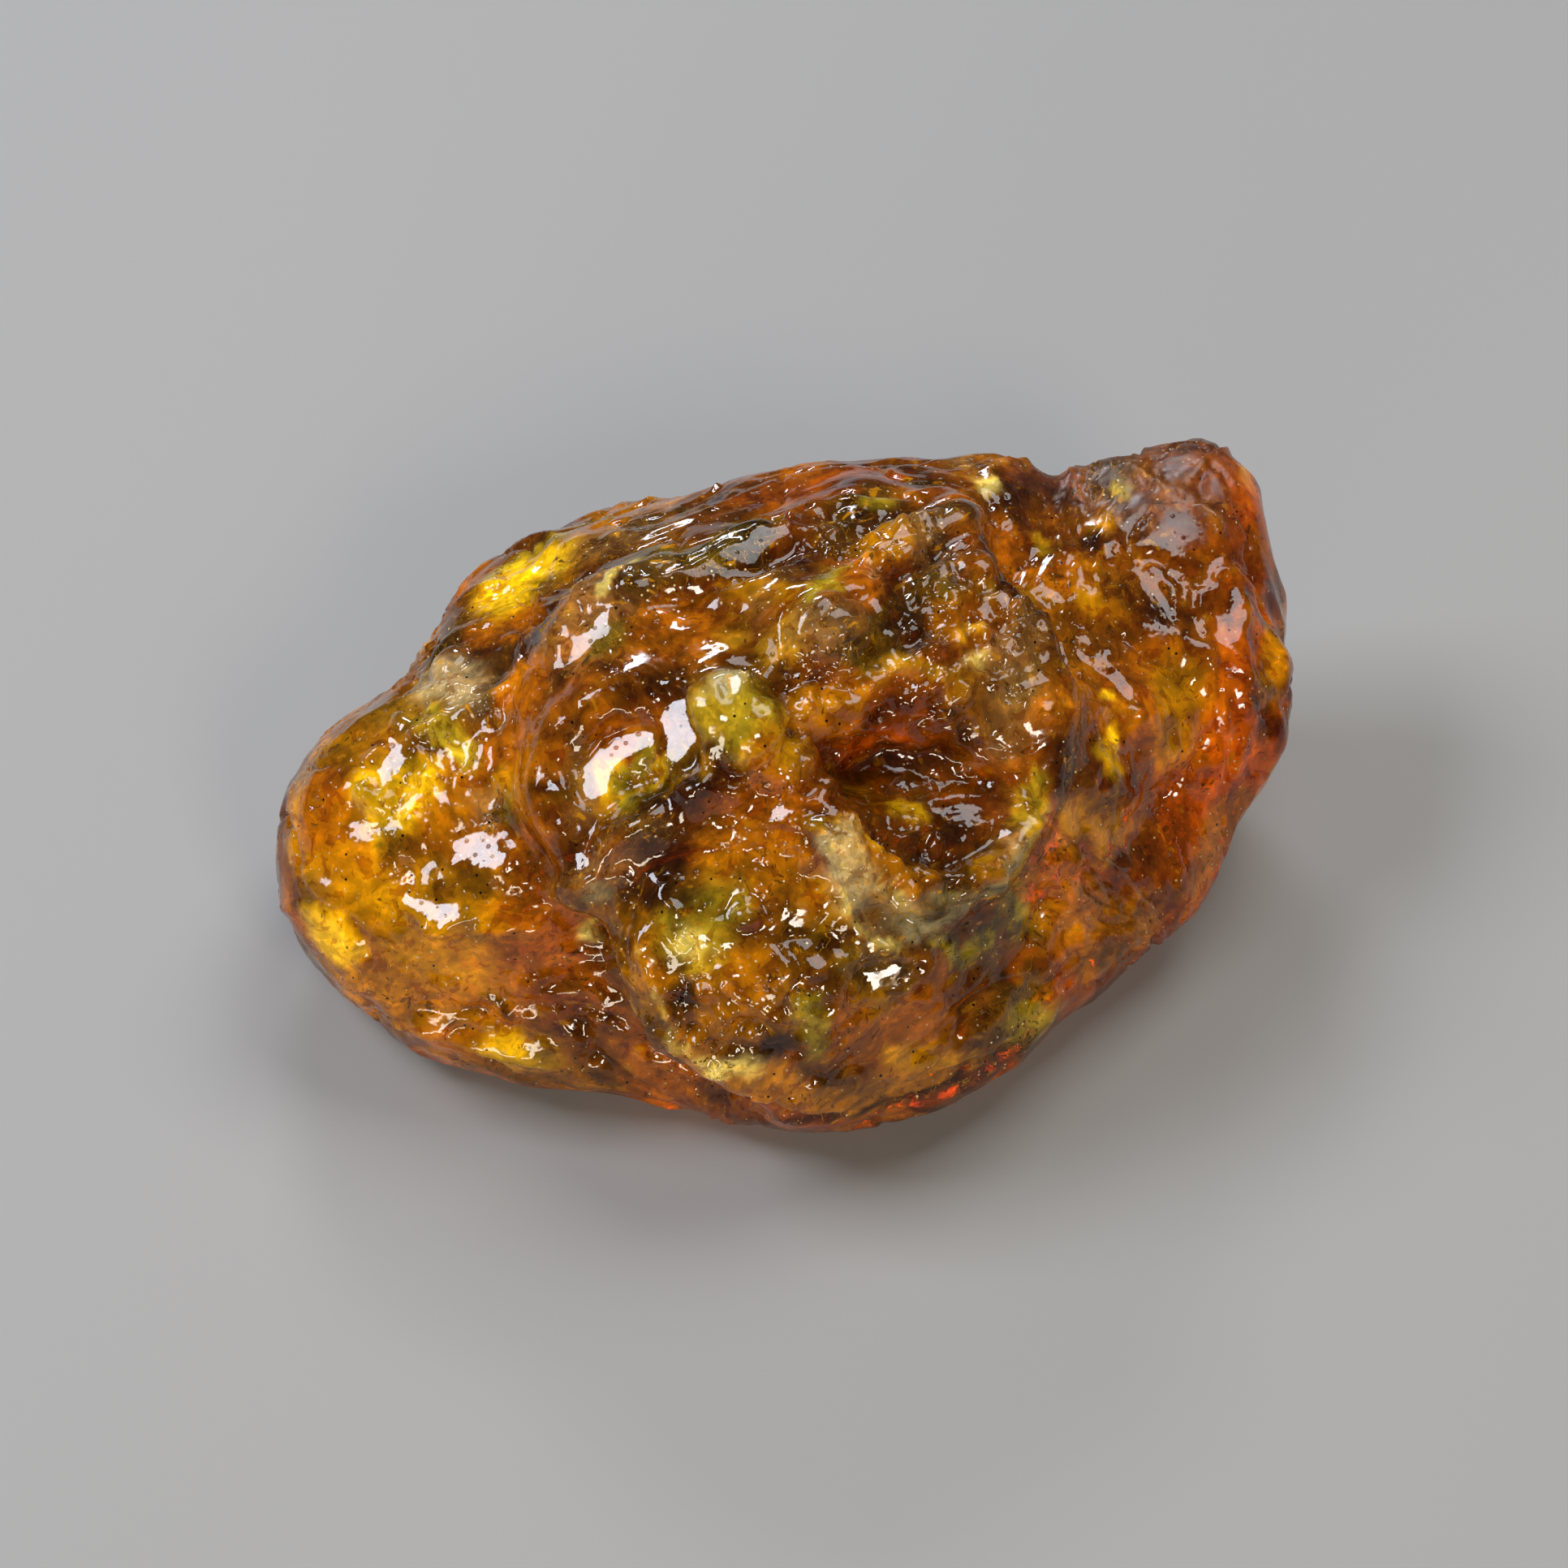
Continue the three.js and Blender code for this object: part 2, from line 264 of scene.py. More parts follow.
    ("cream", 0.5, [(-4, -20, 27), (-2, -22, 24), (2, -22, 23)], 0.6),
    ("gold", 0.6, [(-16, -7, 32), (-13, -12, 32), (-16, -11, 30)]),
    ("gold", 0.6, [(-14, -8, 34), (-15, -10, 33), (-13, -13, 32)], 0.9),
    ("crust", 0.5, [(-24, -10, 22), (-21, -12, 25), (-18, -12, 28)], 0.7),
    ("gold", 0.6, [(13, -13, 30), (18, -9, 27), (22, -9, 24)], 0.7),
    ("honey", 0.6, [(17, 8, 31), (18, 3, 30), (20, -3, 28)]),
    ("salmon", 0.6, [(-17, 4, 34), (-12, 3, 36), (-6, 2, 37)], 0.6),
    # the saddle and the knob
    ("rust", 5, [(35, 9, 29), (34, 12, 28)], 0.7),
    ("ember", 2.4, [(22, 12, 29), (25, 13, 28)]),
    ("wine", 1.4, [(24, 11, 28)]),
    ("rust", 2.4, [(22, 9, 29), (24, 8, 28)]),
    ("smoke", 2.4, [(29, 12, 28), (28, 11, 28)]),
    ("lime", 1, [(29, 10, 28)], 0.7),
    ("cream", 1.6, [(40, 9, 27)]),
    ("gold", 1.6, [(26, 8, 28)]),
    ("pitch", 1.2, [(19, 8, 30)], 0.9),
    ("sun", 1.2, [(21, 6, 29), (20, 6, 29)], 0.95),
    ("salmon", 3, [(28, 4, 27), (27, 3, 26)]),
    ("wine", 1.3, [(25, 6, 28)], 0.7),
    ("honey", 2.5, [(24, 0, 27), (23, 2, 28)]),
    ("gold", 0.9, [(21, 1, 28), (22, -1, 27)], 0.9),
    # the right flank
    ("fire", 8, [(32, -9, 18), (30, -11, 11), (37, 2, 17), (39, 8, 20)], 0.95),
    ("glow", 2, [(39, 4, 20), (38, -2, 16), (33, -8, 12), (28, -12, 10), (24, -15, 9)], 0.7),
    ("wine", 0.8, [(36, 0, 24), (36, -3, 18)]),
    ("wine", 0.7, [(38, 4, 22), (39, 3, 15)]),
    ("wine", 0.7, [(33, -7, 19), (33, -8, 13)]),
    ("orange", 5, [(27, -6, 23), (25, -9, 21), (20, -11, 22)], 0.9),
    ("glow", 2.2, [(27, -6, 23), (26, -8, 22)], 0.9),
    ("glow", 1.8, [(21, -10, 24), (19, -12, 23)], 0.9),
    ("ember", 4, [(18, -14, 22), (23, -12, 17), (18, -17, 14)], 0.7),
    ("honey", 2, [(17, -15, 20), (20, -14, 17)]),
    ("rust", 3, [(23, -14, 13), (22, -16, 11)], 0.7),
    ("gold", 2, [(37, -3, 20), (35, -6, 19)], 0.7),
    ("orange", 1.6, [(39, 4, 24)], 0.9),
    ("ember", 1.8, [(32, 6, 27), (30, -1, 25)]),
    ("wine", 0.8, [(33, -2, 24), (34, 0, 24)]),
    ("pitch", 0.6, [(24, -3, 26), (26, -5, 24), (28, -6, 23), (29, -8, 21), (28, -10, 18)], 0.9),
    ("wine", 1.2, [(26, -2, 26)], 0.7),
    ("wine", 1.6, [(27, -1, 25), (28, -2, 25)]),
    ("salmon", 2.4, [(18, -9, 28), (14, -13, 30)], 0.6),
    ("rust", 1.6, [(17, -4, 31), (15, -10, 30)], 0.7),
    ("gold", 2.8, [(27, -7, 22), (25, -9, 20)]),
    ("sun", 1.1, [(18, -12, 24), (19, -13, 21)]),
    ("gold", 1.3, [(15, -16, 21), (14, -17, 19)]),
    ("sun", 0.8, [(16, -10, 31)], 0.9),
    ("sun", 0.7, [(20, -8, 25)], 0.9),
    ("rust", 1.4, [(22, -11, 22), (21, -12, 20)], 0.6),
    ("sun", 1.1, [(19, -12, 24), (20, -11, 23)], 0.95),
    ("gold", 1.9, [(15, -16, 21), (18, -15, 18), (18, -16, 17)], 0.9),
    ("smoke", 1.2, [(21, -14, 15), (22, -12, 16)], 0.7),
    ("pitch", 0.7, [(25, -11, 16), (28, -10, 18)]),
    # below the pocket, down to the foot
    ("glow", 3, [(14, -19, 14), (16, -20, 10), (19, -18, 9)]),
    ("salmon", 2, [(14, -19, 15), (16, -20, 11)], 0.6),
    ("lime", 1.7, [(9, -20, 16), (10, -20, 15)], 0.6),
    ("pitch", 0.9, [(8, -21, 16), (9, -20, 18)], 0.9),
    ("rust", 3, [(3, -25, 12), (2, -24, 14)], 0.7),
    ("salmon", 1.5, [(13, -20, 12)], 0.6),
    ("smoke", 1.6, [(9, -22, 12)]),
    ("olive", 2.6, [(7, -24, 10), (9, -23, 7)]),
    ("pitch", 1.3, [(2, -26, 7)], 0.85),
    ("lime", 1.6, [(7, -24, 9.5), (9, -23, 8)], 0.6),
    ("wine", 1, [(7, -23, 13)]),
    ("wine", 1, [(8, -21, 16)]),
    ("gold", 1.1, [(0, -26, 10), (3, -26, 9)], 0.9),
]

# ---- the relief

# Each stretch has a height, or a depth where it is negative, a spread, and a path.
# Rims and creases come to an edge.
EDGES = [
    (-0.7, 0.7, [(24, -3, 26), (26, -5, 24), (28, -6, 23), (29, -8, 21), (28, -10, 18), (24, -12, 15)]),
    (-0.6, 0.8, [(18, 6, 30), (17, 3, 29), (19, -1, 28), (23, -3, 26)]),
    (-1.8, 1.3, [(-23, -14, 19), (-21, -20, 18), (-19, -24, 12), (-15, -26, 9)]),
    (0.9, 0.7, FOLD_RIM),
    (-1.2, 1.2, [(-3, -13, 29), (1, -12, 29), (5, -13, 28), (7, -14, 26)]),
    (-1.2, 1.0, [(-5, -17, 29), (-1, -19, 27), (2, -20, 25), (4, -20, 25), (7, -19, 25)]),
    (1.3, 0.9, [(-6, -18, 29), (-4, -20, 27), (-2, -22, 24), (2, -22, 23), (7, -21, 24), (10, -18, 24)]),
    (1.2, 0.9, [(-5, -10, 34), (-1, -10, 33), (3, -9, 34), (7, -10, 33), (9, -14, 30), (10, -17, 26)]),
    (0.8, 0.9, [(-22, -7, 28), (-20, -6, 30), (-17, -6, 32), (-15, -7, 34)]),
    (0.9, 0.8, [(-24, -10, 22), (-21, -12, 25), (-18, -12, 28), (-13, -12, 32)]),
    (0.7, 0.7, SILL_EDGE),
    (0.6, 0.7, [(-9, -24, 22), (-6, -24, 22), (-1, -24, 20)]),
    (-0.9, 0.8, [(-13, 8, 35), (-7, 9, 34), (-1, 9, 34)]),
    (-0.8, 0.8, [(-17, 4, 34), (-12, 3, 36), (-6, 2, 37), (1, 5, 36), (5, 9, 35)]),
    (-1.0, 0.8, [(6, -1, 36), (11, 2, 35), (15, 4, 34)]),
    (0.9, 0.9, [(-35, 5, 22), (-32, 6, 24), (-27, 5, 27), (-23, 5, 28)]),
    (0.7, 0.8, [(-34, -1, 21), (-34, -4, 19), (-33, -7, 17), (-29, -9, 18), (-26, -10, 19)]),
    (0.6, 0.7, [(-30, -4, 22), (-27, -8, 22)]),
    (0.7, 0.7, [(-29, -9, 16), (-27, -10, 17), (-26, -11, 15), (-27, -12, 13)]),
    (-0.9, 0.6, [(-35, -7, 10), (-31, -10, 11), (-29, -12, 10)]),
    (-0.9, 0.6, [(-26, -13, 9), (-23, -15, 7), (-20, -17, 5)]),
    (1.0, 0.8, [(-36, -6, 8), (-32, -10, 8), (-27, -14, 7)]),
    (-1.0, 0.7, [(-31, -8, 14), (-29, -11, 12), (-25, -13, 12), (-23, -14, 9)]),
    (-1.2, 0.9, [(-14, -27, 10), (-8, -28, 8), (-1, -26, 7), (5, -24, 8)]),
    (-0.9, 0.8, [(-2, -26, 12), (3, -24, 13), (8, -21, 14), (12, -19, 17)]),
    (0.7, 0.7, [(13, -13, 30), (18, -9, 27), (22, -9, 24), (25, -10, 19)]),
    (0.7, 0.7, [(13, -16, 26), (17, -14, 22), (23, -12, 17)]),
    (0.6, 0.7, [(13, -18, 19), (17, -16, 16), (21, -13, 15)]),
    (0.7, 0.9, [(31, 12, 28), (33, 8, 28), (35, 5, 27)]),
    (0.7, 0.9, [(35, 5, 27), (35, -1, 23), (33, -6, 21), (31, -10, 15)]),
    # the side away from the fold
    (-1.2, 1.0, [(-21, 22, 20), (-17, 25, 10), (-9, 26, 5)]),
    (-1.1, 0.9, [(32, 14, 24), (24, 20, 17), (12, 25, 15), (2, 26, 17)]),
    (0.8, 0.9, [(-5, 24, 26), (6, 25, 22), (16, 22, 22), (26, 17, 22)]),
    (-0.9, 0.8, [(-38, 12, 16), (-36, 16, 9), (-30, 20, 4)]),
    (0.7, 0.8, [(0, 27, 12), (8, 27, 8), (18, 23, 5)]),
]

# Swells and hollows fade softly.
SWELLS = [
    (1.5, 2.6, [(-14, 17, 28), (-19, 10, 28), (-22, 2, 28), (-24, -4, 26)]),
    (-0.9, 3.0, [(-18, -6, 30), (-14, -8, 32)]),
    (1.6, 2.0, [(-23, -12, 23), (-18, -12, 28), (-13, -12, 31)]),
    (-0.4, 2.6, [(0, -13, 29), (3, -15, 28), (6, -16, 27)]),
    (-0.7, 2.2, [(-3, -22, 24)]),
    (-0.8, 2.0, [(-10, -22, 24), (-8, -23, 23)]),
    (-1.0, 2.2, [(-33, -3, 21), (-28, -4, 23)]),
    (0.7, 2.0, [(-35, 5, 22), (-27, 5, 27)]),
    (0.8, 3.0, [(24, -8, 24)]),
    (0.7, 2.6, [(18, -13, 22)]),
    (0.8, 2.0, [(-13, 6, 35), (-2, 7, 36)]),
    (-0.9, 1.6, [(-10, 2, 36), (-2, 4, 37)]),
    (0.9, 2.2, [(8, 3, 36), (13, 5, 35)]),
    (1.0, 3.2, [(21, 15, 29), (27, 15, 28)]),
]

# Domes are bubbles that have swollen under the skin: height, radius, and centre.
DOMES = [
    (1.4, 4.2, (-10.3, -10, 35.3)),
    (1.2, 3.6, (-8, -12.5, 33.5)),
    (1.2, 3.6, (-1.3, -6, 37)),
    (0.9, 1.9, (12.5, -1, 35)),
    (0.8, 1.4, (13.5, -4.5, 34)),
    (0.7, 1.2, (10.5, -6.5, 34)),
    (0.8, 1.5, (6, -8, 34)),
    (0.7, 1.4, (-13, -20, 25)),
    (0.9, 1.9, (-26, 12, 26)),
    (0.8, 1.7, (-34, 3, 22)),
    (0.9, 1.8, (10, -3, 35)),
    (0.8, 1.5, (-10, 24, 22)),
    (1.0, 2.2, (14, 24, 16)),
    (0.8, 1.6, (-28, 20, 12)),
]

# Where the skin is a bubbly crust, and where it has chipped off in shell-shaped hollows.
CRUSTED = [
    (4.5, [(12, -5, 34), (11, -8, 33), (3, -9, 34), (-4, -10, 33)]),
    (3.5, [(7, 3, 35), (5, 2, 36), (2, 5, 36)]),
    (3, [(-6, -18, 29), (0, -20, 26), (4, -21, 24)]),
    (4, [(-17, -23, 19), (-12, -25, 18)]),
    (3, [(-2, -25, 20)]),
    (4, [(-27, 4, 26), (-31, 3, 25)]),
    (1.6, [(-15, -8, 35), (-15, -12, 33), (-11, -15, 32), (-7, -15, 32)]),
]
CHIPPED = [
    (8, [(18, -10, 26), (22, -12, 20), (16, -17, 18), (12, -21, 12)]),
    (7, [(32, -4, 20), (34, 2, 14)]),
    (6, [(-27, -12, 12), (-24, -14, 12), (-33, -8, 9)]),
    (9, [(18, 22, 12), (28, 18, 14)]),
    (8, [(-24, 20, 12), (-14, 25, 12)]),
]

# Where the skin has set smooth.
GLASSY = [
    (4.5, [(-14, -2, 35), (-10, -3, 35)]),
    (4, [(-18, -7, 30), (-13, -9, 32)]),
    (3.5, [(-10, -10, 35)]),
    (5.5, [(-34, -5, 18), (-29, -8, 17)]),
    (3, [(-27, 1, 26), (-31, 0, 24)]),
    (3.5, [(-22, -12, 24), (-17, -13, 28)]),
    (3, [(2, -22, 23), (8, -19, 24)]),
    (3.5, [(-3, -21, 25), (-3, -24, 21)]),
    (4, [(13, -12, 30), (16, -8, 31)]),
    (4, [(25, -8, 23), (19, -13, 20)]),
    (4, [(-20, -1, 30), (-23, -6, 26)]),
    (3.5, [(-26, 9, 26), (-24, 1, 28)]),
    (7, [(10, 23, 22), (20, 20, 16)]),
    (6, [(-32, 14, 14)]),
]

# Flat glossy patches: a radius, the azimuth and elevation faced, and a path. Those on the side of the fold
# face half-way between the camera and a light, so that they glint.
FACETS = [
    (2.3, (-66, 57), [(-20, -7, 29), (-17, -7, 31), (-14, -9, 32)]),
    (1.8, (-66, 57), [(-14, -9, 32), (-14, -7, 34)]),
    (2.0, (-66, 57), [(-33, 4, 24), (-31, 6, 24)]),
    (1.7, (-66, 57), [(-30, -4, 23), (-28, -6, 23)]),
    (1.2, (-66, 57), [(-34, -3, 19), (-33, -6, 18), (-31, -7, 18)]),
    (1.3, (-66, 57), [(-27, -3, 25)]),
    (1.4, (-66, 57), [(-22, -12, 25), (-20, -13, 26)]),
    (1.2, (-66, 57), [(-10, -9, 37)]),
    (1.1, (-66, 57), [(-19, 2, 33), (-16, 4, 34)]),
    (1.5, (-9, 40), [(-5, -25, 20), (-1, -25, 20)]),
    (1.1, (-9, 40), [(-10, -22, 24)]),
    (1.0, (-9, 40), [(-5, -20, 26), (-5, -21, 25)]),
    (1.0, (14, 73), [(13, -4, 34)]),
    (1.3, (14, 73), [(-4, 5, 37), (-1, 6, 37)]),
    (2.0, (160, 40), [(12, 22, 22), (17, 21, 22)]),
    (1.8, (200, 35), [(-14, 24, 20), (-11, 25, 18)]),
]

# Where cracks glint golden below the skin.
SPANGLED = [
    (4, [(15, -10, 31), (20, -9, 26), (23, -10, 23)]),
    (3, [(2, -16, 27), (5, -15, 27)]),
    (4, [(-34, 3, 23), (-32, 0, 23)]),
    (3, [(-39, -2, 14), (-37, -4, 15)]),
    (3, [(-19, 16, 27)]),
    (3, [(21, 7, 29), (26, 8, 28)]),
    (3, [(16, -16, 19), (20, -15, 19)]),
    (3, [(-28, -13, 8)]),
    (2.5, [(12, -19, 15), (15, -18, 17)]),
    (3, [(18, -12, 24), (19, -13, 21), (15, -16, 21)]),
    (3, [(-10, -10, 35)]),
    (5, [(12, 25, 18), (20, 21, 16)]),
    (5, [(-22, 22, 16)]),
]

# Where the gloss is worn off.
DULL = [
    (7, [(36, 9, 29), (29, 14, 28)]),
    (5, [(24, 14, 28)]),
]

# The skin's unevenness: the size of its lumps, and their height.
LUMPS = [(9, 0.6), (4, 0.07), (1.6, 0.02)]
# Wrinkles run along the grain: a spacing, a height or depth, and how wide they are for their spacing.
WRINKLES = [(8, 0.4, 0.35), (7, -0.45, 0.1), (4, 0.05, 0.35)]
WRINKLE_POWER = 1.4
GLASSY_SHARE = 0.9  # how much of the unevenness the glassy areas are without

# How relief and colour fall off from a path: a low power comes to an edge, a high one is level and drops.
EDGE_POWER = 1.3
SWELL_POWER = 2
AREA_POWER = 4
FLOW_POWER = 5

DOME_POWER = 0.9
BUBBLE_POWER = 0.7
MOAT = (0.25, 1.1, 0.2)  # a dome's moat: its depth, radius and spread, as shares of the dome's own
CHIP_SIZE = 4.2
CHIP_DEPTH = 1.0
CHIP_LEVEL = 0.7  # where a chip is level with the skin, as a share of its size
CRUST_BUBBLES = 620
CRUST_BUBBLE_SIZES = (0.4, 0.95)
CRUST_BUBBLE_RISES = (0.45, 0.35, -0.5)  # two heights and a pit's depth, as shares of the radius
LONE_BUBBLES = 0.004  # the share of the crust's bubbles that the rest of the skin has

FLATNESS = 0.93  # how much of the way onto its plane a facet's points are drawn
FACET_EDGE = (0.6, 1.3)  # where a facet starts and stops fading, as shares of its radius
FACET_REACH = 1.2  # the farthest that a point is drawn
FACET_LEAN = 0.5  # the least that a normal is taken to face a facet, so that the draw stays short

# ---- the grain

# Which way the amber ran: a direction, how far that reaches, and its middle.
GRAINS = [
    ((1, 0.3, 0.1), 12, (0, 8, 35)),
    ((0.2, -1, -0.45), 9, (-22, -2, 27)),
    ((0.8, -0.6, -0.2), 9, (-33, 3, 20)),
    ((0.1, -0.3, -1), 10, (35, -3, 16)),
    ((0.3, -0.6, -1), 8, (22, -10, 23)),
    ((1, -0.7, -0.3), 8, (-28, -12, 9)),
    ((0.6, -0.4, -1), 7, (-14, -22, 22)),
    ((1, 0.3, 0), 10, (2, -25, 8)),
    ((1, 0.2, -0.5), 16, (0, 25, 14)),
    ((0.2, -1, -0.6), 8, (12, -8, 32)),
    ((1, 0.15, 0.1), 5, (3, -21, 24)),
]
STRETCH = 3  # how much longer than wide the grain's streaks are

# ---- the noise

SEED_SHIFT = 31.7  # how much farther along the noise is read for each seed
LUMP_SEED = 10
WRINKLE_SEED = 30
UNDERTONE_SEED = 40

# Sways: the size of the noise that moves points, how far it moves them, and its seed.
RELIEF_SWAY = (4, 0.7, 1)
WRINKLE_SWAY = (5, 1.6, 20)
FACET_SWAY = (1.8, 0.7, 50)
FLOW_SWAY = (3.5, 0.9, 60)
FLOW_FRAY = (1.3, 0.45, 70)
STREAK_SWAY = (2.5, 0.7, 80)
CURL_SWAY = (2, 1.1, 90)

# Patches on the skin: the size of the noise, its octaves, and its seed.
CLOUDING = (2.6, 3, 95)
DIRT = (5, 2, 96)
BROAD_SHADING = (7, 2, 97)

# ---- measuring on the lump


def distance_to_path(points, path):
    """How far each point is from a path of straight stretches, or from its one point."""
    path = np.array(path, float)
    nearest = np.linalg.norm(points - path[0], axis=1)
    for start, end in zip(path[:-1], path[1:]):
        along = end - start
        share = np.clip((points - start) @ along / (along @ along), 0, 1)
        nearest = np.minimum(nearest, np.linalg.norm(points - start - share[:, None] * along, axis=1))
    return nearest


def fading(away, spread, power):
    """From 1 on a path to about a third at the spread, and on to nothing."""
    return np.exp(-((away / spread) ** power))


def cover(points, areas):
    """From 0 to 1: how far each point lies within any of the areas, each a spread and a path."""
    total = np.zeros(len(points))
    for spread, path in areas:
        total = np.maximum(total, fading(distance_to_path(points, path), spread, AREA_POWER))
    return total


def uneven(points, size, octaves, seed):
    """Fractal noise of about -1 to 1, with features of about the size."""
    shifted = points / size + SEED_SHIFT * seed
    return np.array([noise.fractal(Vector(p), 1.0, 2.0, octaves) for p in shifted])


def swayed(points, size, amount, seed):
    """The points, each moved by noise, so that what is measured from them has ragged edges."""
    moves = [uneven(points, size, 3, seed + i) for i in range(3)]
    return points + amount * np.stack(moves, axis=1)


def grain_of(points):
    """Places drawn together along the way the amber ran, so that noise read at them makes streaks."""
    pull = np.zeros_like(points)
    weights = np.full(len(points), 1e-6)
    for direction, reach, middle in GRAINS:
        along = np.array(direction) / np.linalg.norm(direction)
        weight = np.exp(-(((points - middle) ** 2).sum(1) / reach**2))
        pull += (weight * ((points - middle) @ along))[:, None] * along
        weights += weight
    return points - (1 - 1 / STRETCH) * pull / weights[:, None]


def smoothstep(value, low, high):
    share = np.clip((value - low) / (high - low), 0, 1)
    return share * share * (3 - 2 * share)


def backwards(azimuth, elevation):
    """The direction from what is looked at to what looks, by azimuth and elevation in degrees."""
    a, e = math.radians(azimuth), math.radians(elevation)
    return Vector((math.sin(a) * math.cos(e), -math.cos(a) * math.cos(e), math.sin(e)))


def read_vectors(collection, attribute_name):
    values = np.empty(len(collection) * 3, np.float32)
    collection.foreach_get(attribute_name, values)
    return values.reshape(-1, 3).astype(float)


def points_of(mesh):
    """A mesh's points, in millimetres."""
    return read_vectors(mesh.vertices, "co") / MM


def normals_of(mesh):
    return read_vectors(mesh.vertex_normals, "vector")


def added_object(name, data):
    made = bpy.data.objects.new(name, data)
    bpy.context.scene.collection.objects.link(made)
    return made


# ---- the skin's shape


def remeshed(name, mesh):
    """A fine and even copy of a closed mesh as a new object, with its facets smoothed away."""
    rough = added_object(name, mesh)
    fine = rough.modifiers.new("fine", "REMESH")
    fine.mode = "VOXEL"
    fine.voxel_size = VOXEL * MM
    smooth = rough.modifiers.new("smooth", "SMOOTH")
    smooth.factor = SMOOTHING_STEP
    smooth.iterations = SMOOTHING
    made = bpy.data.meshes.new_from_object(rough.evaluated_get(bpy.context.evaluated_depsgraph_get()))
    rough.modifiers.clear()
    rough.data = made
    made.name = name
    return rough


def path_relief(points, stretches, power):
    """How high the stretches of a table raise each point, all together."""
    total = np.zeros(len(points))
    for rise, spread, path in stretches:
        total += rise * fading(distance_to_path(points, path), spread, power)
    return total


def wrinkle_relief(points):
    """Long narrow folds and cracks that wander along the grain."""
    wandering = swayed(grain_of(points), *WRINKLE_SWAY)
    total = np.zeros(len(points))
    for seed, (spacing, rise, width) in enumerate(WRINKLES, WRINKLE_SEED):
        level = np.abs(uneven(wandering, spacing, 2, seed))
        total += rise * np.clip(1 - level / width, 0, 1) ** WRINKLE_POWER
    return total


def dome_relief(points):
    """Round bubbles, each with a shallow moat round it."""
    depth, moat_radius, moat_spread = MOAT
    total = np.zeros(len(points))
    for rise, radius, centre in DOMES:
        away = np.linalg.norm(points - centre, axis=1) / radius
        total += rise * np.clip(1 - away**2, 0, 1) ** DOME_POWER
        total -= depth * rise * fading(away - moat_radius, moat_spread, 2)
    return total


def chip_relief(points, rng):
    """Shell-shaped hollows that meet in sharp edges."""
    low, high = points.min(0), points.max(0)
    count = int(np.prod((high - low) / CHIP_SIZE))
    middles = low + rng.random((count, 3)) * (high - low)
    nearest = np.full(len(points), np.inf)
    for middle in middles:
        nearest = np.minimum(nearest, ((points - middle) ** 2).sum(1))
    return CHIP_DEPTH * (np.sqrt(nearest) / CHIP_SIZE - CHIP_LEVEL)


def bubble_relief(points, crusted, rng):
    """Little domes and burst pits, close together where the skin is a crust."""
    total = np.zeros(len(points))
    spots = rng.choice(len(points), CRUST_BUBBLES, p=crusted / crusted.sum())
    for spot in spots:
        radius = rng.uniform(*CRUST_BUBBLE_SIZES)
        rise = radius * rng.choice(CRUST_BUBBLE_RISES)
        away = np.linalg.norm(points - points[spot], axis=1) / radius
        total += rise * np.clip(1 - away**2, 0, 1) ** BUBBLE_POWER
    return total


def facet_cover(points):
    """For each facet, from 0 to FLATNESS: how flat each point is to become."""
    ragged = swayed(points, *FACET_SWAY)
    covers = []
    for radius, _, path in FACETS:
        away = distance_to_path(ragged, path) / radius
        covers.append(FLATNESS * (1 - smoothstep(away, *FACET_EDGE)))
    return np.array(covers)


def flattened(points, normals):
    """The points, drawn along their normals onto the facets."""
    for share, (_, faces, _) in zip(facet_cover(points), FACETS):
        facing = np.array(backwards(*faces))
        level = np.average(points @ facing, weights=share + 1e-9)
        move = (level - points @ facing) / np.maximum(normals @ facing, FACET_LEAN)
        points = points + normals * (share * np.clip(move, -FACET_REACH, FACET_REACH))[:, None]
    return points


def shape_skin(skin, rng):
    """Moves the skin's points along its normals, and keeps it in the solid's box and flat underneath.

    The height of its folds and creases is given back, so that its colours can follow them.
    """
    mesh = skin.data
    points = points_of(mesh)
    normals = normals_of(mesh)
    ragged = swayed(points, *RELIEF_SWAY)
    roughened = 1 - GLASSY_SHARE * cover(points, GLASSY)
    folds = path_relief(ragged, EDGES, EDGE_POWER) + roughened * wrinkle_relief(points)
    rise = folds + path_relief(ragged, SWELLS, SWELL_POWER) + dome_relief(points)
    for seed, (size, height) in enumerate(LUMPS, LUMP_SEED):
        rise += roughened * height * uneven(points, size, 2, seed)
    rise += cover(ragged, CHIPPED) * chip_relief(ragged, rng)
    rise += bubble_relief(points, cover(points, CRUSTED) + LONE_BUBBLES, rng)
    above_base = smoothstep(points[:, 2], *FADE_IN)
    points += normals * (rise * above_base)[:, None]
    points = flattened(points, normals)
    points[:, 2] = np.maximum(points[:, 2], 0)
    write_in_box(mesh, points)
    return folds


def write_in_box(mesh, points):
    """Writes the points, drawn in where they would stand out of the solid's box."""
    low, high = (np.array(corner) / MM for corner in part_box("amber_nugget"))
    middle = (low + high) / 2
    middle[2] = 0
    reach = np.maximum(points.max(0) - middle, middle - points.min(0))
    allowed = np.maximum(high - middle, middle - low)
    points = middle + (points - middle) * np.minimum(1, BOX_SHARE * allowed / reach)
    mesh.vertices.foreach_set("co", (points * MM).astype(np.float32).ravel())
    mesh.shade_smooth()
    mesh.update()


# ---- the skin's colours

GROUND = "rust"  # the shade under all the others

